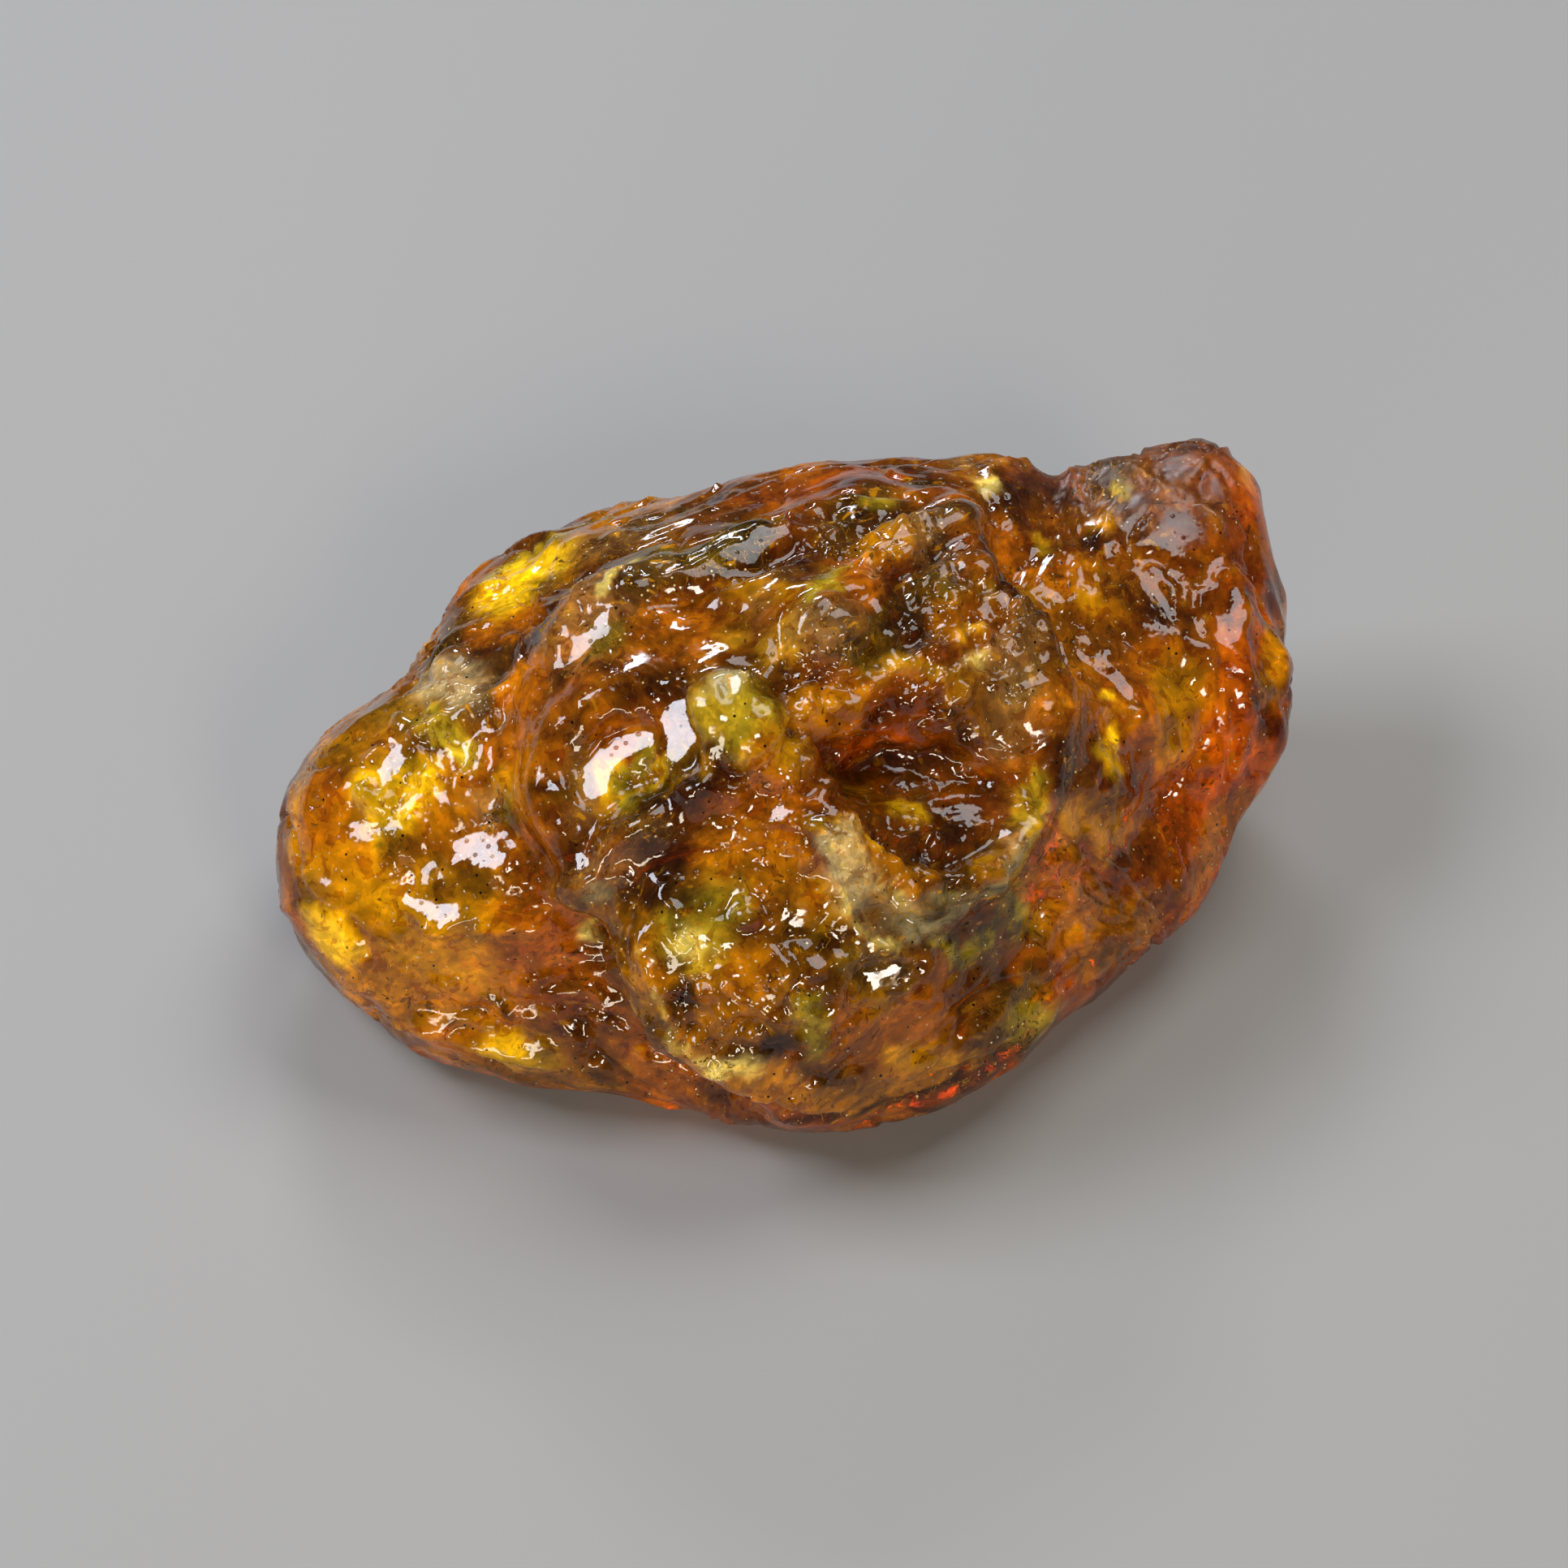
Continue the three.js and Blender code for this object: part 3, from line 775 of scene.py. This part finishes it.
# Shades that the amber takes where no flow is named, with their patches' size and how much they cover.
UNDERTONES = [
    ("honey", 12, 0.5),
    ("ember", 10, 0.4),
    ("wine", 9, 0.1),
    ("gold", 9, 0.3),
    ("mauve", 9, 0.15),
    ("olive", 8, 0.15),
    ("orange", 8, 0.3),
    ("smoke", 5, 0.06),
]
UNDERTONE_STRENGTH = 0.8
UNDERTONE_EDGE = 0.25  # the rise of the noise from a patch's edge to where it is full

# painted shade in the creases and painted pale light along the rims, following the folds' depth and height
PAINTED_CREASE_SHADE = (0.5, 0.3, 1.1)  # its strength in creases, and the depths where it starts and is full
PAINTED_RIM_LIGHT = (0.3, 0.35, 1.0)  # its strength on rims, and the heights


def linear(shade):
    """A shade's colour as the linear values that shaders take."""
    return tuple((c / 255) ** 2.2 for c in SHADES[shade][0])


def laid_over(tint, milk, shade, share):
    """Covers that share of the colour and the milkiness with a shade."""
    tint += (np.array(linear(shade)) - tint) * share[:, None]
    milk += (SHADES[shade][1] - milk) * share


def flow_share(points, spread, path, strength=USUAL_STRENGTH):
    return strength * fading(distance_to_path(points, path), spread, FLOW_POWER)


def flow_colours(ragged, folds):
    """Each point's colour and milkiness: the undertones, the flows, then painted shade in the creases and
    painted pale light on the rims.
    """
    tint = np.empty((len(ragged), 3))
    tint[:] = linear(GROUND)
    milk = np.full(len(ragged), SHADES[GROUND][1])
    for seed, (shade, size, part) in enumerate(UNDERTONES, UNDERTONE_SEED):
        start = 0.55 - 0.9 * part
        patch = smoothstep(uneven(ragged, size, 2, seed), start, start + UNDERTONE_EDGE)
        laid_over(tint, milk, shade, UNDERTONE_STRENGTH * patch)
    for shade, *flow in FLOWS:
        laid_over(tint, milk, shade, flow_share(ragged, *flow))
    # painted shade darkens the creases, and painted pale light brightens the rims
    for shade, height, (strength, *levels) in (("wine", -folds, PAINTED_CREASE_SHADE), ("crust", folds, PAINTED_RIM_LIGHT)):
        laid_over(tint, milk, shade, strength * smoothstep(height, *levels))
    return tint, milk


def paint_skin(skin, folds):
    """Stores what the skin's material reads, as attributes of the skin's points."""
    mesh = skin.data
    points = points_of(mesh)
    ragged = swayed(swayed(points, *FLOW_SWAY), *FLOW_FRAY)
    tint, milk = flow_colours(ragged, folds)
    curling = swayed(points, *CURL_SWAY)
    clouds = uneven(curling, *CLOUDING)
    broad = uneven(ragged, *BROAD_SHADING)
    shading = 1 + 0.45 * np.clip(clouds, -0.5, 0.5) + 1.2 * np.clip(broad, -0.36, 0.36)
    tint *= shading[:, None]
    milk += 0.1 * clouds
    glassy = cover(points, GLASSY)
    store(mesh, "tint", np.hstack([tint, np.ones((len(tint), 1))]))
    store(mesh, "milk", milk)
    store(mesh, "crust", cover(ragged, CRUSTED))
    store(mesh, "glassy", glassy)
    store(mesh, "facet", facet_cover(points).max(0))
    store(mesh, "dull", cover(ragged, DULL))
    store(mesh, "dirt", uneven(points, *DIRT) - 0.3 * folds - 0.4 * glassy)
    store(mesh, "curling", curling)
    store(mesh, "flowing", swayed(grain_of(points), *STREAK_SWAY))


def store(mesh, name, values):
    """Stores a number, a vector or a colour for each point."""
    kinds = {1: ("FLOAT", "value"), 3: ("FLOAT_VECTOR", "vector"), 4: ("FLOAT_COLOR", "color")}
    kind, field = kinds[values.size // len(values)]
    layer = mesh.attributes.new(name, kind, "POINT")
    layer.data.foreach_set(field, values.astype(np.float32).ravel())


# ---- nodes


def new_material(name):
    material = bpy.data.materials.new(name)
    material.use_nodes = True
    return material


def add(tree, kind, inputs=None, **settings):
    """A shader node with its settings. Its inputs are linked to sockets and set to values."""
    node = tree.nodes.new(kind)
    for name, value in settings.items():
        setattr(node, name, value)
    for key, value in (inputs or {}).items():
        if isinstance(value, bpy.types.NodeSocket):
            tree.links.new(value, node.inputs[key])
        else:
            node.inputs[key].default_value = value
    return node


def calculate(tree, operation, first, second=0.0, clamp=False):
    inputs = {0: first, 1: second}
    return add(tree, "ShaderNodeMath", inputs, operation=operation, use_clamp=clamp).outputs[0]


def times(tree, first, second):
    return calculate(tree, "MULTIPLY", first, second)


def ranged(tree, value, low, high, to_low=0.0, to_high=1.0):
    """A value stretched smoothly from one range to another, and held at its ends."""
    inputs = {"Value": value, "From Min": low, "From Max": high, "To Min": to_low, "To Max": to_high}
    return add(tree, "ShaderNodeMapRange", inputs, interpolation_type="SMOOTHSTEP").outputs["Result"]


def blended(tree, share, first, second, mode="MIX"):
    inputs = {0: share, 6: first, 7: second}
    for key in (6, 7):
        if isinstance(inputs[key], tuple):
            inputs[key] = (*inputs[key], 1.0)
    return add(tree, "ShaderNodeMix", inputs, data_type="RGBA", blend_type=mode).outputs[2]


def scaled(tree, vector, factor):
    return add(tree, "ShaderNodeVectorMath", {0: vector, "Scale": factor}, operation="SCALE").outputs[0]


def attribute(tree, name, output="Fac"):
    return add(tree, "ShaderNodeAttribute", attribute_name=name).outputs[output]


def in_millimetres(tree):
    """The object's own coordinates, in millimetres."""
    return scaled(tree, add(tree, "ShaderNodeTexCoord").outputs["Object"], 1 / MM)


def noise_at(tree, place, size, detail=3.0):
    inputs = {"Vector": place, "Scale": 1 / size, "Detail": detail}
    return add(tree, "ShaderNodeTexNoise", inputs).outputs["Fac"]


def cells_at(tree, place, size):
    """Scattered cells: how far it is to a cell's middle, and two numbers of each cell's own."""
    cells = add(tree, "ShaderNodeTexVoronoi", {"Vector": place, "Scale": 1 / size})
    own = add(tree, "ShaderNodeSeparateColor", {"Color": cells.outputs["Color"]})
    return cells.outputs["Distance"], own.outputs[0], own.outputs[1]


# ---- the amber's material

IOR = 1.54
SPECULAR_LEVEL = 0.27  # less than amber's own, because a pale floor lays a grey haze on a clear gloss
ABSORPTION_COLOUR = (0.88, 0.6, 0.04, 1.0)
ABSORPTION_DENSITY = 90.0
FACET_COAT = 0.3
COAT_ROUGHNESS = 0.04
WORN_ROUGHNESS = 0.3  # added where the gloss is worn off
DARK_SHARE = 0.6  # the transmission that dark debris takes away

STREAK_SIZE = 0.9
PATCH_SIZE = 1.4
DEBRIS_SIZE = 0.55
VEIN_SIZE = 1.6
SPECK_SIZE = 0.5
RIPPLE_SIZE = 1.2
FINE_BUBBLE_SIZE = 0.7

# Each takes a value from one range to another, or to 0 to 1 where only one is given.
STREAK_SHADING = (0.35, 0.65, 0.8, 1.2)
STREAK_GILDING = (0.64, 0.7, 0, 0.6)
DIRT_GATHERING = (-0.4, 0.5, -0.12, 0.07)
DEBRIS_SHARE = (0.64, 0.69, 0, 0.85)
VEIN_WIDTH = (0.012, 0.002)
VEIN_STRENGTH = (0.3, 0.8, 0.15, 0.7)  # from how milky the flow is
TRANSMISSION = (0.0, 1.0, 0.95, 0.1)  # from how milky the flow is
STREAK_ROUGHNESS = (0.4, 0.7, 0.04, 0.13)
RIPPLE_HEIGHT = (0.0, 1.0, 0.04, 0.012)  # from how smooth the skin is
FINE_BUBBLE_EDGE, FINE_BUBBLE_PICK = (0.5, 0.0), (0.3, 0.9)
FINE_BUBBLE_HEIGHT = (0.0, 0.8, 0.012, 0.12)  # from how much of a crust the skin is
GRIT_EDGE, GRIT_PICK = (0.3, 0.0), (0.6, 0.65, 0, 0.06)

DEBRIS_COLOUR = (0.028, 0.012, 0.002)
# Dark and pale patches: the levels of noise that they set in at, and what they multiply the colour by.
PATCHES = [((0.43, 0.4, 0, 0.7), (0.55, 0.36, 0.2)), ((0.57, 0.6, 0, 0.7), (1.45, 1.4, 1.2))]
# Painted pale glints and dark specks: their edge within a cell, which cells have one, and their colour.
GLINTS_AND_SPECKS = [
    ((0.24, 0.12), (0.8, 0.84), (1.0, 0.74, 0.36)),
    ((0.34, 0.16), (0.06, 0.03), linear("pitch")),
]


def with_streaks(tree, streaks, colour):
    """Lighter and darker along the streaks, and gold in the strongest."""
    colour = scaled(tree, colour, ranged(tree, streaks, *STREAK_SHADING))
    return blended(tree, ranged(tree, streaks, *STREAK_GILDING), colour, linear("gold"))


def with_patches(tree, place, colour):
    patches = noise_at(tree, place, PATCH_SIZE)
    for levels, factor in PATCHES:
        colour = blended(tree, ranged(tree, patches, *levels), colour, factor, "MULTIPLY")
    return colour


def with_debris(tree, place, colour):
    """Dark debris, more of it where dirt has gathered. Its share comes with the colour."""
    gathered = ranged(tree, attribute(tree, "dirt"), *DIRT_GATHERING)
    debris = calculate(tree, "ADD", noise_at(tree, place, DEBRIS_SIZE, 2.0), gathered)
    dark = ranged(tree, debris, *DEBRIS_SHARE)
    return blended(tree, dark, colour, DEBRIS_COLOUR), dark


def with_veins(tree, place, milk, colour):
    """Fine pale veins, where the noise is close to its middle."""
    fibre = calculate(tree, "SUBTRACT", noise_at(tree, place, VEIN_SIZE), 0.5)
    fibre = calculate(tree, "ABSOLUTE", fibre)
    vein = times(tree, ranged(tree, fibre, *VEIN_WIDTH), ranged(tree, milk, *VEIN_STRENGTH))
    return blended(tree, vein, colour, linear("crust"))


def with_glints_and_specks(tree, place, colour):
    """Painted pale glints, then dark specks. The dark specks' share comes with the colour."""
    away, own, _ = cells_at(tree, place, SPECK_SIZE)
    for edge, pick, speck_colour in GLINTS_AND_SPECKS:
        share = times(tree, ranged(tree, away, *edge), ranged(tree, own, *pick))
        colour = blended(tree, share, colour, speck_colour)
    return colour, share


def amber_colour(tree, place, tint, milk):
    """The flows' colours, broken up. How dark the debris and specks are, and the streaks, come too."""
    flowing = attribute(tree, "flowing", "Vector")
    curling = attribute(tree, "curling", "Vector")
    streaks = noise_at(tree, flowing, STREAK_SIZE, 2.0)
    colour = with_streaks(tree, streaks, tint)
    colour = with_patches(tree, curling, colour)
    colour, dark = with_debris(tree, curling, colour)
    colour = with_veins(tree, curling, milk, colour)
    colour, spot = with_glints_and_specks(tree, place, colour)
    return colour, calculate(tree, "MAXIMUM", dark, spot), streaks


def amber_bump(tree, place):
    """Ripples, fine bubbles and grit too small for the skin's faces, with heights in millimetres."""
    smooth = calculate(tree, "MAXIMUM", attribute(tree, "glassy"), attribute(tree, "facet"))
    ripple_height = ranged(tree, smooth, *RIPPLE_HEIGHT)
    ripple = times(tree, noise_at(tree, place, RIPPLE_SIZE, 2.0), ripple_height)
    away, own, other = cells_at(tree, place, FINE_BUBBLE_SIZE)
    bubble = times(tree, ranged(tree, away, *FINE_BUBBLE_EDGE), ranged(tree, own, *FINE_BUBBLE_PICK))
    bubble = times(tree, bubble, ranged(tree, attribute(tree, "crust"), *FINE_BUBBLE_HEIGHT))
    grit = times(tree, ranged(tree, away, *GRIT_EDGE), ranged(tree, other, *GRIT_PICK))
    height = calculate(tree, "ADD", calculate(tree, "ADD", ripple, bubble), grit)
    return add(tree, "ShaderNodeBump", {"Strength": 1.0, "Distance": MM, "Height": height}).outputs[0]


def amber_material():
    """Clear to cloudy amber with a wet gloss, deeper in colour the farther light goes through it."""
    material = new_material("amber")
    tree = material.node_tree
    tree.nodes.clear()
    place = in_millimetres(tree)
    tint = attribute(tree, "tint", "Color")  # made before milk, or Cycles takes it as black
    milk = attribute(tree, "milk")
    colour, dark, streaks = amber_colour(tree, place, tint, milk)
    through = ranged(tree, milk, *TRANSMISSION)
    through = calculate(tree, "SUBTRACT", through, times(tree, dark, DARK_SHARE), clamp=True)
    worn = times(tree, attribute(tree, "dull"), WORN_ROUGHNESS)
    inputs = {
        "Base Color": colour,
        "Roughness": calculate(tree, "ADD", ranged(tree, streaks, *STREAK_ROUGHNESS), worn),
        "IOR": IOR,
        "Specular IOR Level": SPECULAR_LEVEL,
        "Transmission Weight": through,
        "Coat Weight": times(tree, attribute(tree, "facet"), FACET_COAT),
        "Coat Roughness": COAT_ROUGHNESS,
        "Normal": amber_bump(tree, place),
    }
    surface = add(tree, "ShaderNodeBsdfPrincipled", inputs).outputs[0]
    inputs = {"Color": ABSORPTION_COLOUR, "Density": ABSORPTION_DENSITY}
    depth = add(tree, "ShaderNodeVolumeAbsorption", inputs).outputs[0]
    add(tree, "ShaderNodeOutputMaterial", {"Surface": surface, "Volume": depth})
    return material


def make_skin(rng):
    skin = remeshed("amber_skin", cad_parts["amber_nugget"].data.copy())
    paint_skin(skin, shape_skin(skin, rng))
    skin.data.materials.clear()
    skin.data.materials.append(amber_material())
    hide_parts("amber_nugget")
    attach(skin, "root")
    return skin


# ---- what is sealed inside


def lens_shape(sides):
    """A thin closed flake of unit reach: its points and its triangles."""
    turns = np.arange(sides) * 2 * math.pi / sides
    rim = np.stack([np.cos(turns), np.sin(turns), np.zeros(sides)], axis=1)
    points = np.vstack([rim, [(0, 0, 1), (0, 0, -1)]])
    after = np.roll(np.arange(sides), -1)
    top = np.stack([np.arange(sides), after, np.full(sides, sides)], axis=1)
    bottom = np.stack([after, np.arange(sides), np.full(sides, sides + 1)], axis=1)
    return points, np.vstack([top, bottom])


def ball_shape():
    ball = bmesh.new()
    bmesh.ops.create_icosphere(ball, subdivisions=2, radius=1)
    points = np.array([v.co for v in ball.verts])
    faces = np.array([[v.index for v in face.verts] for face in ball.faces])
    ball.free()
    return points, faces


ALL_OVER = [(100, [(0, 0, 19)])]  # one area, which takes in the whole lump
LOWEST_SKIN = 3  # nothing is sealed under skin that is lower than this
CLEARANCE = 0.1  # how far below the skin each sealed point is at least

# Each kind has copies of one shape. Widths and thicknesses are shares of how far a copy reaches, the curl
# is how much it is bent, and the tilt is how far it leans off the skin's normal.
INCLUSIONS = {
    "gilt_cracks": dict(
        shape=lens_shape(8), areas=SPANGLED, count=420, depths=(0.4, 2.5), reaches=(0.4, 1.5),
        widths=(0.3, 0.7), thicknesses=(0.04, 0.08), curl=0.25, tilt=0.5,
        material="gilt_crack", patch_size=1.0, colours=((1.0, 0.45, 0.03), (1.0, 0.75, 0.15)),
        values={"Roughness": 0.25, "Metallic": 0.3},
    ),
    "sealed_debris": dict(
        shape=lens_shape(5), areas=ALL_OVER, count=1500, depths=(0.3, 4), reaches=(0.12, 0.5),
        widths=(0.3, 0.9), thicknesses=(0.2, 0.6), curl=0, tilt=2,
        material="debris", patch_size=0.8, colours=((0.012, 0.006, 0.003), (0.12, 0.05, 0.015)),
        values={"Roughness": 0.6},
    ),
    "gas_bubbles": dict(
        shape=ball_shape(), areas=ALL_OVER, count=420, depths=(0.6, 4), reaches=(0.1, 0.35),
        widths=(1, 1), thicknesses=(1, 1), curl=0, tilt=1,
        material="gas", patch_size=2.0, colours=((1.0, 0.8, 0.4), (1.0, 0.92, 0.7)),
        values={"Roughness": 0.05, "Transmission Weight": 0.8},
    ),
}


def sealed_material(kind):
    """Patches between a kind's two colours, with the values that its shader takes."""
    material = new_material(kind["material"])
    tree = material.node_tree
    surface = tree.nodes["Principled BSDF"]
    share = ranged(tree, noise_at(tree, in_millimetres(tree), kind["patch_size"]), 0.4, 0.6)
    tree.links.new(blended(tree, share, *kind["colours"]), surface.inputs["Base Color"])
    for name, value in kind["values"].items():
        surface.inputs[name].default_value = value
    return material


def random_frames(normals, tilt, rng):
    """For each normal, three axes at right angles. The third leans off the normal by about the tilt."""
    up = normals + tilt * rng.normal(size=normals.shape)
    up /= np.linalg.norm(up, axis=1)[:, None]
    side = np.cross(up, rng.normal(size=normals.shape))
    side /= np.linalg.norm(side, axis=1)[:, None]
    return np.stack([side, np.cross(up, side), up], axis=1)


def lies_inside(tree, points):
    """True if every point is well below the surface."""
    for point in points:
        nearest, normal, _, _ = tree.find_nearest(point)
        if (Vector(point) - nearest).dot(normal) > -CLEARANCE:
            return False
    return True


def strewn(kind, points, normals, rng):
    """The points of a kind's copies, strewn below the skin within its areas."""
    count = kind["count"]
    weight = cover(points, kind["areas"]) * (points[:, 2] > LOWEST_SKIN)
    picked = rng.choice(len(points), count, p=weight / weight.sum())
    depth = rng.uniform(*kind["depths"], count)[:, None]
    middles = points[picked] - normals[picked] * depth
    reach = rng.uniform(*kind["reaches"], count)
    width = reach * rng.uniform(*kind["widths"], count)
    thickness = reach * rng.uniform(*kind["thicknesses"], count)
    sizes = np.stack([reach, width, thickness], axis=1)
    bent = np.repeat(kind["shape"][0][None], count, axis=0) * sizes[:, None, :]
    bent[:, :, 2] += kind["curl"] * bent[:, :, 0] ** 2
    return middles[:, None] + bent @ random_frames(normals[picked], kind["tilt"], rng)


def joined(name, copies, faces, material):
    """One piece made of all the copies, which have the same faces."""
    offsets = np.arange(len(copies))[:, None, None] * copies.shape[1]
    points = (copies.reshape(-1, 3) * MM).tolist()
    mesh = bpy.data.meshes.new(name)
    mesh.from_pydata(points, [], (faces[None] + offsets).reshape(-1, 3).tolist())
    mesh.shade_smooth()
    mesh.materials.append(material)
    piece = added_object(name, mesh)
    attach(piece, "root")


def make_inclusions(skin, rng):
    points = points_of(skin.data)
    normals = normals_of(skin.data)
    inside = BVHTree.FromPolygons(points.tolist(), [face.vertices[:] for face in skin.data.polygons])
    for name, kind in INCLUSIONS.items():
        copies = strewn(kind, points, normals, rng)
        copies = copies[[lies_inside(inside, copy) for copy in copies]]
        joined(name, copies, kind["shape"][1], sealed_material(kind))


# ---- the stage


def make_floor():
    material = new_material("pale_floor")
    surface = material.node_tree.nodes["Principled BSDF"]
    surface.inputs["Base Color"].default_value = FLOOR_COLOUR
    surface.inputs["Roughness"].default_value = FLOOR_ROUGHNESS
    corners = [(-1, -1), (1, -1), (1, 1), (-1, 1)]
    mesh = bpy.data.meshes.new("floor")
    mesh.from_pydata([(x * FLOOR_HALF, y * FLOOR_HALF, 0) for x, y in corners], [], [(0, 1, 2, 3)])
    mesh.materials.append(material)
    floor = added_object("floor", mesh)


def make_camera():
    data = bpy.data.cameras.new("camera")
    data.lens = CAMERA_LENS
    data.sensor_width = SENSOR_WIDTH
    camera = added_object("camera", data)
    back = backwards(CAMERA_AZIMUTH, CAMERA_ELEVATION)
    camera.location = (Vector(CAMERA_TARGET) + back * CAMERA_DISTANCE) * MM
    camera.rotation_euler = back.to_track_quat("Z", "Y").to_euler()
    bpy.context.scene.camera = camera


def make_lights():
    for name, (azimuth, elevation, distance, size, power, colour) in LIGHTS.items():
        data = bpy.data.lights.new(name, "AREA")
        data.shape = "RECTANGLE"
        data.size, data.size_y = size
        data.energy = power
        data.color = colour
        light = added_object(name, data)
        back = backwards(azimuth, elevation)
        light.location = back * distance
        light.rotation_euler = back.to_track_quat("Z", "Y").to_euler()
    world = bpy.data.worlds.new("pale_room")
    world.use_nodes = True
    background = world.node_tree.nodes["Background"]
    background.inputs["Color"].default_value = ROOM_COLOUR
    background.inputs["Strength"].default_value = ROOM_STRENGTH
    bpy.context.scene.world = world


# ---- everything

bpy.context.scene.view_settings.view_transform = "Standard"
make_camera()
make_lights()
make_floor()
skin = make_skin(np.random.default_rng(SEED))
make_inclusions(skin, np.random.default_rng(SEED + 1))
